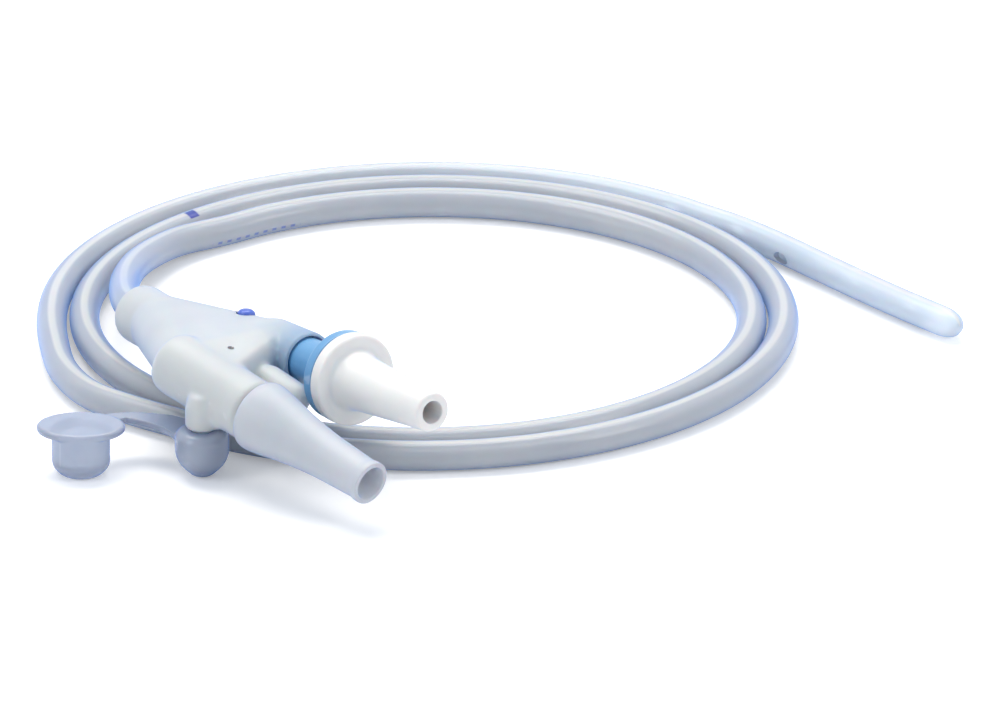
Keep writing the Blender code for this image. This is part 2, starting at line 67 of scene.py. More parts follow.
# The port and what it carries, as points and directions from the middle of the coil
INLET = Vector((-57.0, -20.6, 13.2))
TRUNK = Vector((0.46, -0.88, 0.11)).normalized()
SUCTION_ROOT = Vector((-33.2, -73.0, 14.7))
SUCTION = Vector((0.694, -0.704, -0.152)).normalized()
VALVE_CENTRE = Vector((-14.6, -65.4, 18.9))
VENT = Vector((0.580, -0.809, 0.097)).normalized()
MOUTH_BACK = 14.6
BOSS_AT = Vector((-44.2, -69.4, 0))
PLUG_AT = Vector((-68.2, -68.2, 0))
GUSSET_FROM = Vector((-33.0, -57.5, 16.0))
GUSSET_TO = Vector((-26.5, -63.5, 14.0))
MARK_AT = Vector((-35.6, -38.4, 20.85))
MARK_NORMAL = Vector((0.05, 0.2, 0.98)).normalized()
DIMPLE_AT = Vector((-38.6, -58.9, 22.0))
DIMPLE_RADIUS = 0.95


def place_on(point, direction=UP):
    """The matrix that stands a piece made round Z on a point of the coil's frame, along a direction."""
    turn = UP.rotation_difference(direction).to_matrix().to_4x4()
    return Matrix.Translation((COIL + point) * MM) @ turn


# Camera

def make_camera():
    data = bpy.data.cameras.new("camera")
    data.lens = LENS
    data.sensor_width = 36
    data.clip_start = 0.05
    data.clip_end = 60
    camera = bpy.data.objects.new("camera", data)
    bpy.context.scene.collection.objects.link(camera)
    distance = LENS / 36 * PHOTO_WIDTH * PIXEL
    right = Vector((1, 0, 0))
    up = Vector((0, math.sin(ELEVATION), math.cos(ELEVATION)))
    back = Vector((0, -math.cos(ELEVATION), math.sin(ELEVATION)))
    across = (PHOTO_WIDTH / 2 - COIL_IN_PHOTO[0]) * PIXEL
    rise = (COIL_IN_PHOTO[1] - PHOTO_HEIGHT / 2) * PIXEL
    camera.location = COIL * MM + right * across + up * rise + back * distance
    camera.rotation_euler = (math.radians(90) - ELEVATION, 0, 0)
    bpy.context.scene.camera = camera


make_camera()


# The tube's route

# How deep in the sleeve the tube's first points lie, its points down to the coil, and those from the coil to
# the tip
LEAD_IN_SLEEVE = (15.3, 7.5, -0.8)
LEAD = (
    (-58.9, -15.9, 12.5),
    (-59.9, -10.6, 11.5),
    (-60.4, -0.6, 9.3),
    (-60.0, 10.0, 7.3),
    (-58.2, 19.8, 5.9),
    (-54.8, 28.6, 4.7),
    (-49.6, 36.6, 3.7),
)
TAIL = (
    (54.4, 50.4, 3.0),
    (62.4, 43.8, 3.0),
    (70.4, 35.6, 3.0),
    (78.6, 26.0, 3.0),
    (86.8, 16.4, 3.0),
    (95.0, 7.2, 3.0),
    (103.0, -1.2, 3.0),
)
TIP_DIRECTION = Vector((0.69, -0.724, 0))


# The coil's half widths at its start, how much wider each turn is, and the corner where the outer turn is
# pushed out
COIL_ACROSS, COIL_ALONG, TURN_STEP = 63.5, 57.6, 6.4
CORNER_TURN, CORNER_WIDTH = 1.676, 0.042
CORNER_PUSH = Vector((-2.6, -3.6, 0))


def coil_point(turn):
    """A point of the coil, so many turns on from its far side."""
    angle = math.radians(90 - 360 * turn)
    across = COIL_ACROSS + TURN_STEP * turn
    along = COIL_ALONG + TURN_STEP * turn
    corner = math.exp(-(((turn - CORNER_TURN) / CORNER_WIDTH) ** 2))
    return Vector((across * math.cos(angle), along * math.sin(angle), TUBE_RADIUS)) + CORNER_PUSH * corner


def smooth_line(points, step):
    """A smooth line through the points, with its own points a step apart."""
    line = []
    for number in range(len(points) - 1):
        p1, p2 = points[number], points[number + 1]
        p0 = points[number - 1] if number else p1 * 2 - p2
        p3 = points[number + 2] if number + 2 < len(points) else p2 * 2 - p1
        k1 = (p2 - p1).length / ((p1 - p0).length + (p2 - p1).length)
        k2 = (p2 - p1).length / ((p2 - p1).length + (p3 - p2).length)
        m1 = (p2 - p0) * k1
        m2 = (p3 - p1) * k2
        for share in [n / 24 for n in range(24)]:
            s2, s3 = share ** 2, share ** 3
            line.append(p1 * (2 * s3 - 3 * s2 + 1) + m1 * (s3 - 2 * s2 + share)
                        + p2 * (3 * s2 - 2 * s3) + m2 * (s3 - s2))
    line.append(points[-1])
    even, left = [line[0]], step
    for a, b in zip(line, line[1:]):
        length = (b - a).length
        while length >= left:
            a = a.lerp(b, left / length)
            length = (b - a).length
            even.append(a)
            left = step
        left -= length
    if (even[-1] - line[-1]).length > step / 3:
        even.append(line[-1])
    return even


def tube_route(step=2.0):
    points = [INLET + TRUNK * depth for depth in LEAD_IN_SLEEVE]
    points += [Vector(p) for p in LEAD]
    points += [coil_point(n / 36) for n in range(-4, 77)]
    points += [Vector(p) for p in TAIL]
    return smooth_line(points, step)


def section_frames(route):
    """For each point of the route: the way ahead, the way to the side and the way up."""
    frames = []
    for number in range(len(route)):
        before = route[max(number - 1, 0)]
        after = route[min(number + 1, len(route) - 1)]
        tangent = (after - before).normalized()
        side = tangent.cross(UP).normalized()
        frames.append((tangent, side, side.cross(tangent)))
    return frames


# Modelling helpers

def deselect():
    if bpy.context.object and bpy.context.object.mode != "OBJECT":
        bpy.ops.object.mode_set(mode="OBJECT")
    bpy.ops.object.select_all(action="DESELECT")


def only(piece):
    deselect()
    piece.select_set(True)
    bpy.context.view_layer.objects.active = piece


def settle(piece):
    """Leaves the piece's place in its mesh and its object at the origin."""
    only(piece)
    bpy.ops.object.transform_apply(location=True, rotation=True, scale=True)


def modified(piece, kind, **settings):
    only(piece)
    modifier = piece.modifiers.new(kind.lower(), kind)
    for name, value in settings.items():
        setattr(modifier, name, value)
    bpy.ops.object.modifier_apply(modifier=modifier.name)


def smooth(piece, degrees=35):
    only(piece)
    bpy.ops.object.shade_smooth_by_angle(angle=math.radians(degrees))


def softened(corners, closed=False, steps=5):
    """The profile with each corner rounded. A corner is (radius, height, rounding)."""
    points = []
    count = len(corners)
    for number, (r, z, rounding) in enumerate(corners):
        here = Vector((r, z))
        if rounding == 0 or (not closed and number in (0, count - 1)):
            points.append(here)
            continue
        before = Vector(corners[number - 1][:2])
        after = Vector(corners[(number + 1) % count][:2])
        to_before, to_after = (before - here), (after - here)
        reach = min(rounding, to_before.length * 0.49, to_after.length * 0.49)
        start = here + to_before.normalized() * reach
        end = here + to_after.normalized() * reach
        for n in range(steps + 1):
            share = n / steps
            points.append(start.lerp(here, share).lerp(here.lerp(end, share), share))
    return [(p.x, p.y) for p in points]


def turned(name, corners, place=Matrix.Identity(4), sides=96, hollow=False):
    """A turned piece: a ring is drawn along the profile, from step to step, round Z."""
    profile = softened(corners, closed=hollow)
    deselect()
    radius, height = profile[0]
    bpy.ops.mesh.primitive_circle_add(vertices=sides, radius=radius * MM, location=(0, 0, height * MM))
    piece = bpy.context.object
    piece.name = piece.data.name = name
    settle(piece)
    bpy.ops.object.mode_set(mode="EDIT")
    bpy.ops.mesh.select_all(action="SELECT")
    if not hollow:
        bpy.ops.mesh.edge_face_add()
    for (r0, z0), (r1, z1) in zip(profile, profile[1:] + (profile[:1] if hollow else [])):
        bpy.ops.mesh.extrude_edges_move(TRANSFORM_OT_translate={"value": (0, 0, (z1 - z0) * MM)})
        if abs(r1 - r0) > 1e-5:
            ratio = r1 / r0
            bpy.ops.transform.resize(value=(ratio, ratio, 1), center_override=(0, 0, z1 * MM))
    if not hollow:
        bpy.ops.mesh.edge_face_add()
    bpy.ops.mesh.select_all(action="SELECT")
    bpy.ops.mesh.remove_doubles(threshold=1e-6)
    bpy.ops.mesh.normals_make_consistent(inside=False)
    bpy.ops.object.mode_set(mode="OBJECT")
    piece.matrix_world = place
    settle(piece)
    return piece


def joined(name, pieces):
    deselect()
    for piece in pieces:
        piece.select_set(True)
    bpy.context.view_layer.objects.active = pieces[0]
    bpy.ops.object.join()
    piece = bpy.context.object
    piece.name = piece.data.name = name
    return piece


def melted(name, pieces, voxel, rounds):
    """One moulded body with soft transitions, from pieces that run into each other."""
    body = joined(name, pieces)
    modified(body, "REMESH", mode="VOXEL", voxel_size=voxel * MM, adaptivity=0.0)
    modified(body, "SMOOTH", factor=0.5, iterations=rounds)
    return body


def bored(piece, cutters):
    """The piece with each cutter's shape taken out of it."""
    for cutter in cutters:
        modified(piece, "BOOLEAN", operation="DIFFERENCE", solver="EXACT", object=cutter)
        bpy.data.objects.remove(cutter, do_unlink=True)
    return piece


def swept(name, points, radii, sides, frames=None, offset=(0.0, 0.0)):
    """A round tube through the points, with U round it and V along it in metres."""
    frames = frames or section_frames(points)
    bm = bmesh.new()
    uv = bm.loops.layers.uv.new("along")
    rings, lengths, length = [], [], 0.0
    for number, (point, (_, side, up)) in enumerate(zip(points, frames)):
        if number:
            length += (point - points[number - 1]).length * MM
        lengths.append(length)
        centre = COIL + point + side * offset[0] + up * offset[1]
        ring = []
        for n in range(sides):
            angle = 2 * math.pi * n / sides
            place = centre + (side * math.cos(angle) + up * math.sin(angle)) * radii[number]
            ring.append(bm.verts.new(place * MM))
        rings.append(ring)
    for number in range(len(rings) - 1):
        for n in range(sides):
            after = (n + 1) % sides
            face = bm.faces.new((rings[number][n], rings[number][after], rings[number + 1][after],
                                 rings[number + 1][n]))
            face.smooth = True
            around = (n / sides, (n + 1) / sides, (n + 1) / sides, n / sides)
            along = (lengths[number], lengths[number], lengths[number + 1], lengths[number + 1])
            for loop, u, v in zip(face.loops, around, along):
                loop[uv].uv = (u, v)
    for ring, at in ((rings[0], 0.0), (list(reversed(rings[-1])), lengths[-1])):
        face = bm.faces.new(ring)
        for loop in face.loops:
            loop[uv].uv = (0.5, at)
    bmesh.ops.recalc_face_normals(bm, faces=bm.faces)
    mesh = bpy.data.meshes.new(name)
    bm.to_mesh(mesh)
    bm.free()
    piece = bpy.data.objects.new(name, mesh)
    bpy.context.scene.collection.objects.link(piece)
    return piece


# The tube

def cut_short(points, length):
    """The line without its last stretch of this length."""
    left = list(points)
    while length > 0:
        step = (left[-1] - left[-2]).length
        if step > length:
            left[-1] = left[-1].lerp(left[-2], length / step)
        else:
            left.pop()
        length -= step
    return left


def eye_cutter(number, route, distance, side):
    """An oval cutter through the wall of the tube, where a drainage eye is punched."""
    path = cut_short(route, distance - NOSE[-1][0])
    tangent = (path[-1] - path[-2]).normalized()
    outward = tangent.cross(UP) * -side
    deselect()
    bpy.ops.mesh.primitive_cylinder_add(vertices=40, radius=EYE_RADIUS * MM, depth=EYE_CUT_DEPTH * MM)
    cutter = bpy.context.object
    cutter.name = "eye_cutter_%d" % number
    centre = (COIL + path[-1] + outward * 2.4 - UP * 0.4) * MM
    turn = Matrix((tangent, outward.cross(tangent), outward)).transposed().to_4x4()
    cutter.matrix_world = Matrix.Translation(centre) @ turn @ Matrix.Diagonal((EYE_STRETCH, 1, 1, 1))
    settle(cutter)
    return cutter


def make_tube():
    route = tube_route()
    nose = [route[-1] + TIP_DIRECTION * ahead for ahead, _ in NOSE]
    radii = [TUBE_RADIUS] * len(route) + [TUBE_RADIUS * share for _, share in NOSE]
    tube = swept("tube", route + nose, radii, 36)
    cutters = []
    ways = (("main_way", MAIN_LUMEN, MAIN_END), ("vent_way", VENT_LUMEN, VENT_END))
    for name, (radius, side, up), end in ways:
        path = cut_short(route, end - NOSE[-1][0])
        path = [path[0] + (path[0] - path[1]).normalized() * 2] + path
        cutters.append(swept(name, path, [radius] * len(path), 16, offset=(side, up)))
    cutters += [eye_cutter(number, route, *eye) for number, eye in enumerate(EYES)]
    bored(tube, cutters)
    smooth(tube, 40)
    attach(tube, "tube_and_port")
    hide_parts("sump_tube")
    return tube


# Y port

def bar_between(name, start, end, r0, r1, sides=48):
    """A tapered round bar from one point to another, with rounded ends."""
    axis = end - start
    length = axis.length
    corners = [
        (0.3, -0.2 * r0, 0), (r0 * 0.7, 0, r0 * 0.5), (r0, r0 * 0.5, r0 * 0.3),
        (r1, length - r1 * 0.5, r1 * 0.3), (r1 * 0.7, length, r1 * 0.5), (0.3, length + 0.2 * r1, 0),
    ]
    return turned(name, corners, place_on(start, axis.normalized()), sides)


# The grain in which the port is melted together, the rounds of smoothing after it, and its two ways' radii
PORT_VOXEL, PORT_SMOOTHING = 0.36, 26
SUCTION_WAY, VENT_WAY = 1.75, 0.8


def ring(name, centre, direction, radius):
    deselect()
    bpy.ops.mesh.primitive_circle_add(vertices=64, radius=radius * MM)
    circle = bpy.context.object
    circle.name = circle.data.name = name
    circle.matrix_world = place_on(centre, direction)
    settle(circle)
    return circle


def port_web(mouth):
    """The flat, rounded web stretched between the sleeve and the two branches."""
    web = joined("web", [
        ring("sleeve_ring", INLET + TRUNK * 7, TRUNK, 5.8),
        ring("branch_end_ring", SUCTION_ROOT - SUCTION * 20, SUCTION, 5.9),
        ring("suction_ring", SUCTION_ROOT - SUCTION * 9, SUCTION, 6.2),
        ring("vent_ring", mouth - VENT * 8.5, VENT, 5.6),
    ])
    only(web)
    bpy.ops.object.mode_set(mode="EDIT")
    bpy.ops.mesh.select_all(action="SELECT")
    bpy.ops.mesh.convex_hull()
    bpy.ops.object.mode_set(mode="OBJECT")
    return web


def port_body(mouth):
    """The port before its ways are bored: web, sleeve, two branches, gusset and the peg's foot."""
    fork = (GUSSET_TO - GUSSET_FROM).normalized()
    sleeve = [(4.9, 0, 0), (6.0, 0, 0.9), (6.0, 10.6, 0.8), (5.4, 12.5, 0)]
    suction_branch = [(0.4, -25.4, 0), (6.4, -25.4, 6.0), (6.4, -1.2, 0.3), (5.3, 0.0, 0)]
    vent_branch = [
        (4.4, -15.4, 0), (5.7, -13.4, 1.5), (5.75, -1.4, 0.5), (5.9, -0.8, 0.4), (5.6, 0, 0.3), (5.0, 0, 0),
    ]
    foot = [(3.4, 0, 0.5), (3.4, 5.0, 1.5), (2.4, 7.2, 0)]
    pieces = [
        port_web(mouth),
        turned("sleeve", sleeve, place_on(INLET, TRUNK), 64),
        turned("suction_branch", suction_branch, place_on(SUCTION_ROOT, SUCTION), 64),
        turned("vent_branch", vent_branch, place_on(mouth, VENT), 64),
        bar_between("gusset", GUSSET_FROM, GUSSET_TO + fork * 3.3, 3.5, 3.5),
        turned("foot", foot, place_on(BOSS_AT + UP * 10.1), 48),
        bar_between("foot_web", BOSS_AT + UP * 14.2, SUCTION_ROOT - SUCTION * 3 - UP * 0.8, 3.4, 4.6),
    ]
    return melted("port", pieces, PORT_VOXEL, PORT_SMOOTHING)


def gate_dimple():
    """The small pit that the moulding gate leaves on the web."""
    deselect()
    place = (COIL + DIMPLE_AT) * MM
    bpy.ops.mesh.primitive_uv_sphere_add(segments=32, ring_count=16, radius=DIMPLE_RADIUS * MM, location=place)
    dimple = bpy.context.object
    settle(dimple)
    return dimple


def make_port():
    mouth = VALVE_CENTRE - VENT * MOUTH_BACK
    port = port_body(mouth)
    side = TRUNK.cross(UP).normalized()
    up = side.cross(TRUNK)
    bottom = INLET + TRUNK * 15.0
    main = bottom + up * MAIN_LUMEN[2]
    vent = bottom + up * VENT_LUMEN[2] + side * VENT_LUMEN[1]
    neck_back = SUCTION_ROOT - SUCTION * 3
    cutters = [
        turned("tube_hole", [(3.3, -1, 0), (3.3, 15.8, 0)], place_on(INLET, TRUNK), 48),
        turned("sleeve_lead_in", [(4.2, -1, 0), (3.7, 0.0, 0), (3.2, 0.7, 0)], place_on(INLET, TRUNK), 48),
        turned("socket_hole", [(4.9, 1, 0), (4.9, -2, 0), (4.4, -12.5, 0)], place_on(mouth, VENT), 64),
        turned("socket_lead_in", [(5.5, 0.8, 0), (5.1, -0.1, 0), (4.8, -0.8, 0)], place_on(mouth, VENT), 64),
        bar_between("suction_way_behind", main, neck_back, SUCTION_WAY, SUCTION_WAY, 24),
        bar_between("suction_way_before", neck_back - SUCTION, SUCTION_ROOT + SUCTION, SUCTION_WAY, SUCTION_WAY,
                    24),
        bar_between("vent_way", vent, mouth - VENT * 11.5, VENT_WAY, VENT_WAY, 16),
        turned("mark_hole", [(2.2, 2, 0), (2.2, -1.4, 0)], place_on(MARK_AT, MARK_NORMAL), 48),
        gate_dimple(),
    ]
    bored(port, cutters)
    neck = [(3.0, 10.0, 0.2), (4.6, 10.0, 0.3), (5.2, 8.8, 0.4), (5.2, -0.9, 0.2), (3.0, -0.9, 0)]
    peg = [(0.4, 2.55, 0), (1.6, 2.55, 0.3), (2.0, 3.1, 0.3), (2.0, 11.0, 0), (0.4, 11.0, 0)]
    for added in (
        turned("neck", neck, place_on(SUCTION_ROOT, SUCTION), 64, hollow=True),
        turned("peg", peg, place_on(BOSS_AT), 40),
    ):
        modified(port, "BOOLEAN", operation="UNION", solver="EXACT", object=added)
        bpy.data.objects.remove(added, do_unlink=True)
    smooth(port, 40)
    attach(port, "tube_and_port")
    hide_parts("y_port")
    return port


def make_mark():
    profile = [(0.2, 1.12, 0), (1.0, 1.05, 0.4), (1.8, 0.5, 0.6), (1.9, -1.1, 0.2), (0.2, -1.1, 0)]
    mark = turned("vent_button", profile, place_on(MARK_AT, MARK_NORMAL), 48)
    smooth(mark)
    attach(mark, "tube_and_port")
    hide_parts("vent_mark")
    return mark


# Suction adapter

def make_adapter():
    wall = [
        (3.45, 32.5, 0.25), (4.45, 32.5, 0.3), (4.5, 31.3, 0.3), (4.25, 30.2, 0.4), (4.7, 20.0, 3.0),
        (5.3, 14.0, 2.5), (6.1, 9.0, 2.0), (6.95, 4.5, 1.5), (7.35, 1.4, 0.8), (6.9, 0.0, 0.8),
        (5.5, 0.0, 0.3), (5.5, 10.3, 0.2), (3.2, 10.3, 0.3), (3.2, 31.5, 0.3),
    ]
    adapter = turned("adapter", wall, place_on(SUCTION_ROOT, SUCTION), 96, hollow=True)
    smooth(adapter)
    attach(adapter, "adapter")
    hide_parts("suction_adapter")
    return adapter


# Anti-reflux valve

def make_valve():
    place = place_on(VALVE_CENTRE, VENT)
    white_wall = [
        (2.3, 27.8, 0.3), (3.95, 27.8, 0.7), (5.6, 3.6, 1.0), (6.4, 1.6, 1.0), (8.0, 1.9, 0.8),
        (9.35, 1.6, 1.3), (9.3, -1.2, 0.5), (7.0, -1.2, 0.1), (7.0, -0.2, 0.1), (2.9, -0.2, 0.2),
        (2.9, 8.0, 0.5), (2.3, 10.0, 0.5),
    ]
    blue_wall = [
        (7.0, -1.5, 0.1), (9.1, -1.5, 0.35), (9.1, -3.9, 0.6), (5.0, -3.9, 0.5), (4.6, -5.4, 0.6),
        (4.6, -16.6, 0.3), (4.1, -25.6, 0.3), (2.6, -25.6, 0.2), (2.6, -2.7, 0.1), (7.0, -2.7, 0.1),
    ]
    white = turned("valve_white", white_wall, place, 112, hollow=True)
    blue = turned("valve_blue", blue_wall, place, 96, hollow=True)
    halves = ((white, "valve_white_half", "white_plastic"), (blue, "valve_blue_half", "blue_plastic"))
    for piece, node, slot in halves:
        smooth(piece)
        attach(piece, "valve")
        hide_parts(node)
    return white, blue


# Captive plug

# The strap from the flange to the boss, seen from above and measured from the boss: the middle of each cross
# section, half of its width, and its heading in degrees
STRAP_STEPS = (
    (-23.3, 4.5, 2.5, 97),
    (-18.6, 8.0, 2.4, 86),
    (-15.2, 9.6, 1.4, 88),
    (-13.1, 9.2, 1.8, 87),
    (-10.6, 8.3, 2.3, 80),
    (-7.0, 6.6, 3.1, 71),
    (-4.0, 3.8, 3.8, 65),
    (-0.2, 0.5, 3.0, 55),
)
STRAP_MIDDLE, STRAP_THICKNESS = 7.95, 1.3
STRAP_VOXEL, STRAP_SMOOTHING = 0.2, 6
# The plug's flange is an oval, a little behind the plug's own middle
FLANGE_OFFSET = Vector((0, 0.7, 0))
FLANGE_DEPTH_SHARE = 0.72


def strap_bar():
    """The flat strap, drawn out from the flange to the boss with its width changing on the way."""
    steps = [(COIL + BOSS_AT + Vector((x, y, STRAP_MIDDLE)), half, math.radians(heading))
             for x, y, half, heading in STRAP_STEPS]
    centre, half, heading = steps[0]
    deselect()
    bpy.ops.mesh.primitive_plane_add(size=1)
    bar = bpy.context.object
    bar.matrix_world = (Matrix.Translation(centre * MM) @ Matrix.Rotation(heading, 4, "Z")
                        @ Matrix.Rotation(math.radians(90), 4, "X")
                        @ Matrix.Diagonal((2 * half * MM, STRAP_THICKNESS * MM, 1, 1)))
    settle(bar)
    bpy.ops.object.mode_set(mode="EDIT")
    bpy.ops.mesh.select_all(action="SELECT")
    for (before, half0, heading0), (here, half1, heading1) in zip(steps, steps[1:]):
        bpy.ops.mesh.extrude_region_move(TRANSFORM_OT_translate={"value": (here - before) * MM})
        bpy.ops.transform.rotate(value=heading0 - heading1, orient_axis="Z", center_override=here * MM)
        bpy.ops.transform.resize(value=(half1 / half0, half1 / half0, 1), center_override=here * MM)
    bpy.ops.mesh.select_all(action="SELECT")
    bpy.ops.mesh.normals_make_consistent(inside=False)
    bpy.ops.object.mode_set(mode="OBJECT")
    return bar


def make_plug():
    plug = [(0.3, 0, 0), (4.2, 0, 0.6), (5.8, 1.7, 1.0), (5.8, 9.7, 0.3), (0.3, 9.7, 0)]
    flange = [
        (0.3, 8.4, 0), (8.4, 8.4, 0.3), (8.8, 8.9, 0.3), (8.8, 9.6, 0.3), (8.3, 10.0, 0.3), (0.3, 10.0, 0),
    ]
    boss = [(0.3, 0, 0), (2.0, 0, 1.0), (5.4, 3.4, 3.6), (5.4, 8.6, 0.8), (4.2, 9.8, 0.9), (0.3, 9.8, 0)]
    flange_place = place_on(PLUG_AT + FLANGE_OFFSET) @ Matrix.Diagonal((1, FLANGE_DEPTH_SHARE, 1, 1))
    pieces = [
        turned("plug_body", plug, place_on(PLUG_AT), 72),
        turned("flange", flange, flange_place, 72),
        turned("boss_body", boss, place_on(BOSS_AT), 72),
        strap_bar(),
    ]
    strap = melted("plug_and_strap", pieces, STRAP_VOXEL, STRAP_SMOOTHING)
    hole = turned("peg_hole", [(2.3, 11.6, 0), (2.3, 2.2, 0)], place_on(BOSS_AT), 48)
    bored(strap, [hole])
    smooth(strap, 40)
    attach(strap, "strap")
    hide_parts("plug_strap")
    return strap


# Materials

def effect_group(name, inputs, outputs):
    """An empty shader group with these sockets, its input node and its output node."""
    group = bpy.data.node_groups.new(name, "ShaderNodeTree")
    for label, kind, value in inputs:
        socket = group.interface.new_socket(label, in_out="INPUT", socket_type=kind)
        if value is not None:
            socket.default_value = value
    for label, kind in outputs:
        group.interface.new_socket(label, in_out="OUTPUT", socket_type=kind)
    nodes = group.nodes
    return group, nodes.new("NodeGroupInput"), nodes.new("NodeGroupOutput")


def make_clouding():
    """Soft clouds and fine grain of a moulded or extruded plastic, as masks and a height."""
    group, source, result = effect_group(
        "plastic_clouding",
        [("Vector", "NodeSocketVector", None), ("Cloud Scale", "NodeSocketFloat", 90.0),
         ("Grain Scale", "NodeSocketFloat", 2200.0)],
        [("Cloud", "NodeSocketFloat"), ("Grain", "NodeSocketFloat"), ("Height", "NodeSocketFloat")],
    )
    nodes, links = group.nodes, group.links
    cloud = nodes.new("ShaderNodeTexNoise")
    cloud.inputs["Detail"].default_value = 3
    grain = nodes.new("ShaderNodeTexNoise")
    grain.inputs["Detail"].default_value = 2
    stretch = nodes.new("ShaderNodeMapRange")
    stretch.inputs["From Min"].default_value = 0.3
    stretch.inputs["From Max"].default_value = 0.7
    total = nodes.new("ShaderNodeMath")
    total.operation = "MULTIPLY_ADD"
    total.inputs[1].default_value = 0.25
    links.new(source.outputs["Vector"], cloud.inputs["Vector"])
    links.new(source.outputs["Vector"], grain.inputs["Vector"])
    links.new(source.outputs["Cloud Scale"], cloud.inputs["Scale"])
    links.new(source.outputs["Grain Scale"], grain.inputs["Scale"])
    links.new(cloud.outputs["Fac"], stretch.inputs["Value"])
    links.new(stretch.outputs["Result"], result.inputs["Cloud"])
    links.new(grain.outputs["Fac"], result.inputs["Grain"])
    links.new(grain.outputs["Fac"], total.inputs[0])
    links.new(cloud.outputs["Fac"], total.inputs[2])
    links.new(total.outputs["Value"], result.inputs["Height"])
    return group


def make_edge_lightening():
    """A mask of the piece's sharp outer edges, where the colour is made paler."""
    group, source, result = effect_group(
        "edge_lightening",
        [("Starts At", "NodeSocketFloat", 0.515), ("Full At", "NodeSocketFloat", 0.6),
         ("Most", "NodeSocketFloat", 0.5)],
        [("Mask", "NodeSocketFloat")],
    )
    nodes, links = group.nodes, group.links
    shape = nodes.new("ShaderNodeNewGeometry")
    stretch = nodes.new("ShaderNodeMapRange")
    links.new(shape.outputs["Pointiness"], stretch.inputs["Value"])
    links.new(source.outputs["Starts At"], stretch.inputs["From Min"])
    links.new(source.outputs["Full At"], stretch.inputs["From Max"])
    links.new(source.outputs["Most"], stretch.inputs["To Max"])
    links.new(stretch.outputs["Result"], result.inputs["Mask"])
    return group


CLOUDING = make_clouding()
EDGE_LIGHTENING = make_edge_lightening()


class Finish:
    """A material with its Principled shader, and short ways to add nodes to it."""

    def __init__(self, name, **constants):
        self.material = bpy.data.materials.new(name)
        self.material.use_nodes = True
        self.nodes = self.material.node_tree.nodes
        self.links = self.material.node_tree.links
        self.shader = self.nodes["Principled BSDF"]
        for label, value in constants.items():
            self.shader.inputs[label.replace("_", " ")].default_value = value

    def add(self, kind, **values):
        node = self.nodes.new(kind)
        for label, value in values.items():
            setattr(node, label, value)
        return node

    def link(self, output, target):
        self.links.new(output, target)

    def clouding(self, cloud_scale, grain_scale):
        place = self.add("ShaderNodeTexCoord")
        node = self.add("ShaderNodeGroup")
        node.node_tree = CLOUDING
        node.inputs["Cloud Scale"].default_value = cloud_scale
        node.inputs["Grain Scale"].default_value = grain_scale
        self.link(place.outputs["Object"], node.inputs["Vector"])
        return node

    def mix(self, mask, low, high):
        """A colour between two others, each given as numbers or as another node's output."""
        node = self.add("ShaderNodeMix", data_type="RGBA")
        self.link(mask, node.inputs["Factor"])
        for socket, colour in ((node.inputs["A"], low), (node.inputs["B"], high)):
            if isinstance(colour, tuple):
                socket.default_value = (*colour, 1)
            else:
                self.link(colour, socket)
        return node.outputs["Result"]

    def range(self, value, low, high, from_low=0.0, from_high=1.0):
        node = self.add("ShaderNodeMapRange")
        node.inputs["From Min"].default_value = from_low
        node.inputs["From Max"].default_value = from_high
        node.inputs["To Min"].default_value = low
        node.inputs["To Max"].default_value = high
        self.link(value, node.inputs["Value"])
        return node.outputs["Result"]

    def math(self, operation, a, b=None):
        node = self.add("ShaderNodeMath", operation=operation)
        for socket, value in zip(node.inputs, (a, b)):
            if value is None:
                continue
            if isinstance(value, (int, float)):
                socket.default_value = value
            else:
                self.link(value, socket)
        return node.outputs["Value"]

    def with_lighter_edges(self, colour, lighter, starts_at, full_at, most):
        """The colour with the piece's sharp edges made a little lighter."""
        node = self.add("ShaderNodeGroup")
        node.node_tree = EDGE_LIGHTENING
        node.inputs["Starts At"].default_value = starts_at
        node.inputs["Full At"].default_value = full_at
        node.inputs["Most"].default_value = most
        return self.mix(node.outputs["Mask"], colour, lighter)

    def bump(self, height, strength, distance):
        node = self.add("ShaderNodeBump")
        node.inputs["Strength"].default_value = strength
        node.inputs["Distance"].default_value = distance
        self.link(height, node.inputs["Height"])
        self.link(node.outputs["Normal"], self.shader.inputs["Normal"])

    def on(self, *pieces):
        for piece in pieces:
            piece.data.materials.clear()
            piece.data.materials.append(self.material)


def band(finish, value, centre, half, edge):
    """1 where the value is within half of the centre, with a soft edge."""
    off = finish.math("ABSOLUTE", finish.math("SUBTRACT", value, centre))
    return finish.range(off, 1.0, 0.0, half - edge, half + edge)


# On the tube, along it in metres and round it in turns: the radiopaque line, laid on each strand's crest where
# it also stands as a painted highlight, the tail painted lighter for the light through it, a depth mark and a
# row of small ticks
LINE_AND_HIGHLIGHT_AROUND = 0.252
PAINTED_LIGHT_TAIL = (0.94, 1.04)
DEPTH_MARK = (0.480, 0.215)
TICKS = (0.083, 0.104, 0.935)


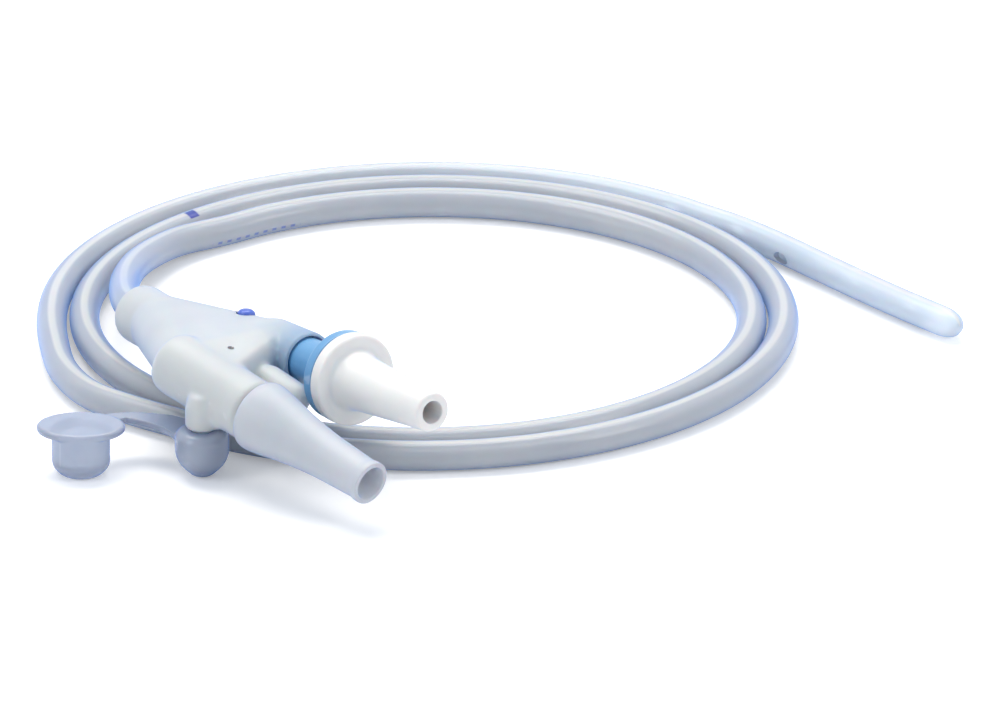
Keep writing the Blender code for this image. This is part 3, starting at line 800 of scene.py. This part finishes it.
def clear_tube_finish():
    finish = Finish(
        "clear_tube_pvc",
        IOR=1.33, Transmission_Weight=0.45, Subsurface_Weight=0.2, Subsurface_Scale=0.002,
        Coat_Weight=0.35, Coat_Roughness=0.16, Coat_IOR=1.35,
        Sheen_Weight=0.9, Sheen_Roughness=0.4, Sheen_Tint=(0.14, 0.38, 1.0, 1),
    )
    clouding = finish.clouding(60.0, 1500.0)
    place = finish.add("ShaderNodeUVMap", uv_map="along")
    split = finish.add("ShaderNodeSeparateXYZ")
    finish.link(place.outputs["UV"], split.inputs["Vector"])
    around, along = split.outputs["X"], split.outputs["Y"]
    body = finish.mix(clouding.outputs["Cloud"], (0.56, 0.60, 0.66), (0.63, 0.66, 0.70))
    # Painted light: the tail's colour is painted lighter, standing in for the light that passes through the
    # lone strand.
    body = finish.mix(finish.range(along, 0.0, 1.0, *PAINTED_LIGHT_TAIL), body, (0.76, 0.84, 0.93))
    # The cream band is the radiopaque line, laid along each strand's crest, where it also stands as a painted
    # highlight.
    line = band(finish, around, LINE_AND_HIGHLIGHT_AROUND, 0.04, 0.014)
    body = finish.mix(finish.math("MULTIPLY", line, 0.9), body, (0.98, 0.96, 0.89))
    mark = finish.math("MULTIPLY", band(finish, along, DEPTH_MARK[0], 0.0012, 0.0002),
                       band(finish, around, DEPTH_MARK[1], 0.065, 0.006))
    body = finish.mix(mark, body, (0.05, 0.07, 0.45))
    tick = band(finish, finish.math("MODULO", along, 0.0022), 0.0011, 0.0005, 0.0001)
    first, last, side = TICKS
    tick = finish.math("MULTIPLY", tick, band(finish, around, side, 0.018, 0.004))
    tick = finish.math("MULTIPLY", tick, band(finish, along, (first + last) / 2, (last - first) / 2, 0.0002))
    body = finish.mix(finish.math("MULTIPLY", tick, 0.8), body, (0.14, 0.22, 0.66))
    finish.link(body, finish.shader.inputs["Base Color"])
    finish.link(finish.range(clouding.outputs["Grain"], 0.26, 0.36), finish.shader.inputs["Roughness"])
    finish.bump(clouding.outputs["Height"], 0.03, 0.0002)
    return finish


def painted_nozzle_glow(finish):
    """A mask of painted glow round the vent branch, strongest at its mouth, where the blue nozzle inside would
    shine through the frosted wall.
    """
    mouth = VALVE_CENTRE - VENT * MOUTH_BACK
    back = mouth - VENT * 13
    place = finish.add("ShaderNodeTexCoord")
    ahead = finish.add("ShaderNodeVectorMath", operation="SUBTRACT")
    ahead.inputs[1].default_value = (COIL + back) * MM
    finish.link(place.outputs["Object"], ahead.inputs[0])
    depth = finish.add("ShaderNodeVectorMath", operation="DOT_PRODUCT")
    depth.inputs[1].default_value = VENT
    finish.link(ahead.outputs["Vector"], depth.inputs[0])
    aside = finish.add("ShaderNodeVectorMath", operation="CROSS_PRODUCT")
    aside.inputs[1].default_value = VENT
    finish.link(ahead.outputs["Vector"], aside.inputs[0])
    reach = finish.add("ShaderNodeVectorMath", operation="LENGTH")
    finish.link(aside.outputs["Vector"], reach.inputs[0])
    along = finish.range(depth.outputs["Value"], 0.0, 0.75, 0.0, 0.011)
    near = finish.range(reach.outputs["Value"], 1.0, 0.0, 0.0055, 0.0085)
    return finish.math("MULTIPLY", along, near)


def frosted_finish(name, low, high, transmission, painted_glow_colour=None):
    """A frosted plastic. Given a glow colour, the wall round the vent branch is painted blue, a painted glow of
    the blue nozzle shining through it.
    """
    finish = Finish(
        name,
        IOR=1.35, Transmission_Weight=transmission, Subsurface_Weight=0.3, Subsurface_Scale=0.002,
        Coat_Weight=0.3, Coat_Roughness=0.35, Coat_IOR=1.15,
        Sheen_Weight=0.55, Sheen_Roughness=0.4, Sheen_Tint=(0.20, 0.42, 1.0, 1),
    )
    clouding = finish.clouding(70.0, 3200.0)
    body = finish.mix(clouding.outputs["Cloud"], low, high)
    if painted_glow_colour:
        # Painted glow: the base colour turns blue round the vent branch, standing in for the blue nozzle's
        # light through the wall.
        body = finish.mix(painted_nozzle_glow(finish), body, painted_glow_colour)
    body = finish.with_lighter_edges(body, (0.84, 0.86, 0.88), 0.55, 0.66, 0.35)
    finish.link(body, finish.shader.inputs["Base Color"])
    finish.link(finish.range(clouding.outputs["Grain"], 0.34, 0.5), finish.shader.inputs["Roughness"])
    finish.bump(clouding.outputs["Height"], 0.1, 0.0002)
    return finish


def solid_finish(name, low, high, roughness, subsurface=0.1, sheen=0.0):
    finish = Finish(
        name,
        IOR=1.48, Subsurface_Weight=subsurface, Subsurface_Scale=0.002, Coat_Weight=0.1, Coat_Roughness=0.15,
        Sheen_Weight=sheen, Sheen_Roughness=0.3, Sheen_Tint=(0.15, 0.42, 1.0, 1),
    )
    clouding = finish.clouding(110.0, 3600.0)
    body = finish.mix(clouding.outputs["Cloud"], low, high)
    edge = tuple(0.6 * share + 0.4 * 0.9 for share in high)
    body = finish.with_lighter_edges(body, edge, 0.515, 0.60, 0.5)
    finish.link(body, finish.shader.inputs["Base Color"])
    finish.link(finish.range(clouding.outputs["Grain"], roughness - 0.06, roughness + 0.08),
                finish.shader.inputs["Roughness"])
    finish.bump(clouding.outputs["Height"], 0.08, 0.00015)
    return finish


def clear_strap_finish():
    finish = Finish(
        "clear_strap_pvc",
        IOR=1.36, Transmission_Weight=0.42, Subsurface_Weight=0.2, Subsurface_Scale=0.002,
        Coat_Weight=0.5, Coat_Roughness=0.08, Coat_IOR=1.35,
        Sheen_Weight=0.8, Sheen_Roughness=0.35, Sheen_Tint=(0.10, 0.32, 1.0, 1),
    )
    clouding = finish.clouding(80.0, 1800.0)
    body = finish.mix(clouding.outputs["Cloud"], (0.42, 0.48, 0.60), (0.50, 0.55, 0.66))
    body = finish.with_lighter_edges(body, (0.66, 0.71, 0.80), 0.58, 0.68, 0.3)
    finish.link(body, finish.shader.inputs["Base Color"])
    finish.link(finish.range(clouding.outputs["Grain"], 0.15, 0.26), finish.shader.inputs["Roughness"])
    finish.bump(clouding.outputs["Height"], 0.06, 0.0002)
    return finish


# Stage and light

FLOOR_LIFT = 0.24
SKY_COLOUR, SKY_STRENGTH = (0.74, 0.85, 1.0, 1), 0.6


def make_stage():
    """A white floor that keeps the object's shadow, lifted a little for the rays that see it."""
    deselect()
    bpy.ops.mesh.primitive_plane_add(size=4, location=(0, 0, -0.0002))
    floor = bpy.context.object
    floor.name = "floor"
    settle(floor)
    material = bpy.data.materials.new("floor_white")
    material.use_nodes = True
    nodes, links = material.node_tree.nodes, material.node_tree.links
    shader = nodes["Principled BSDF"]
    shader.inputs["Base Color"].default_value = (0.88, 0.88, 0.89, 1)
    shader.inputs["Roughness"].default_value = 0.9
    shader.inputs["Specular IOR Level"].default_value = 0.0
    rays = nodes.new("ShaderNodeLightPath")
    most = nodes.new("ShaderNodeMath")
    most.operation = "MAXIMUM"
    lift = nodes.new("ShaderNodeMath")
    lift.operation = "MULTIPLY"
    lift.inputs[1].default_value = FLOOR_LIFT
    links.new(rays.outputs["Is Camera Ray"], most.inputs[0])
    links.new(rays.outputs["Is Transmission Ray"], most.inputs[1])
    links.new(most.outputs["Value"], lift.inputs[0])
    links.new(lift.outputs["Value"], shader.inputs["Emission Strength"])
    shader.inputs["Emission Color"].default_value = (1, 1, 1, 1)
    floor.data.materials.append(material)


def make_world():
    """A pale sky that lights the object, and a white backdrop for the rays that see it."""
    world = bpy.data.worlds.new("studio")
    bpy.context.scene.world = world
    world.use_nodes = True
    nodes, links = world.node_tree.nodes, world.node_tree.links
    sky = nodes["Background"]
    sky.inputs["Color"].default_value = SKY_COLOUR
    sky.inputs["Strength"].default_value = SKY_STRENGTH
    backdrop = nodes.new("ShaderNodeBackground")
    backdrop.inputs["Color"].default_value = (1, 1, 1, 1)
    rays = nodes.new("ShaderNodeLightPath")
    seen = rays.outputs["Is Camera Ray"]
    for label in ("Is Glossy Ray", "Is Transmission Ray"):
        most = nodes.new("ShaderNodeMath")
        most.operation = "MAXIMUM"
        links.new(seen, most.inputs[0])
        links.new(rays.outputs[label], most.inputs[1])
        seen = most.outputs["Value"]
    choice = nodes.new("ShaderNodeMixShader")
    links.new(seen, choice.inputs["Fac"])
    links.new(sky.outputs["Background"], choice.inputs[1])
    links.new(backdrop.outputs["Background"], choice.inputs[2])
    links.new(choice.outputs["Shader"], nodes["World Output"].inputs["Surface"])


def soft_lamp(name, location, size, watts, colour):
    """A rectangular lamp that looks at the middle of the table."""
    data = bpy.data.lights.new(name, "AREA")
    data.shape = "RECTANGLE"
    data.size, data.size_y = size
    data.energy = watts
    data.color = colour
    lamp = bpy.data.objects.new(name, data)
    bpy.context.scene.collection.objects.link(lamp)
    lamp.location = location
    lamp.rotation_euler = (-Vector(location)).to_track_quat("-Z", "Y").to_euler()


# Everything in its place

tube = make_tube()
port = make_port()
button = make_mark()
adapter = make_adapter()
valve_white, valve_blue = make_valve()
strap = make_plug()

clear_tube_finish().on(tube)
# The port's last colour is the painted glow of the blue nozzle through the vent branch's wall.
frosted_finish("frosted_port_pvc", (0.65, 0.685, 0.69), (0.725, 0.745, 0.735), 0.3, (0.25, 0.43, 0.64)).on(port)
frosted_finish("frosted_adapter_pvc", (0.65, 0.69, 0.74), (0.71, 0.735, 0.78), 0.35).on(adapter)
solid_finish("blue_valve_plastic", (0.10, 0.29, 0.55), (0.14, 0.35, 0.60), 0.3).on(valve_blue)
solid_finish("blue_button_plastic", (0.04, 0.10, 0.50), (0.06, 0.14, 0.56), 0.3).on(button)
solid_finish("white_valve_plastic", (0.76, 0.755, 0.735), (0.80, 0.79, 0.775), 0.36, 0.2, 0.5).on(valve_white)
clear_strap_finish().on(strap)
bill, filter_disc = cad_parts["duckbill_valve"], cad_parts["filter_disc"]
solid_finish("silicone_bill", (0.70, 0.69, 0.65), (0.78, 0.77, 0.73), 0.5, 0.3).on(bill)
solid_finish("filter_membrane", (0.80, 0.80, 0.78), (0.90, 0.90, 0.88), 0.8).on(filter_disc)

make_stage()
make_world()
soft_lamp("overhead", (-0.1, 0.35, 0.9), size=(1.0, 0.5), watts=10.0, colour=(1.0, 0.95, 0.88))
soft_lamp("left", (-0.9, -0.5, 0.6), size=(0.5, 0.7), watts=3.0, colour=(1.0, 0.96, 0.9))
soft_lamp("right", (0.9, -0.5, 0.7), size=(0.4, 0.4), watts=3.5, colour=(1.0, 0.96, 0.9))

bpy.context.scene.view_settings.view_transform = "Standard"
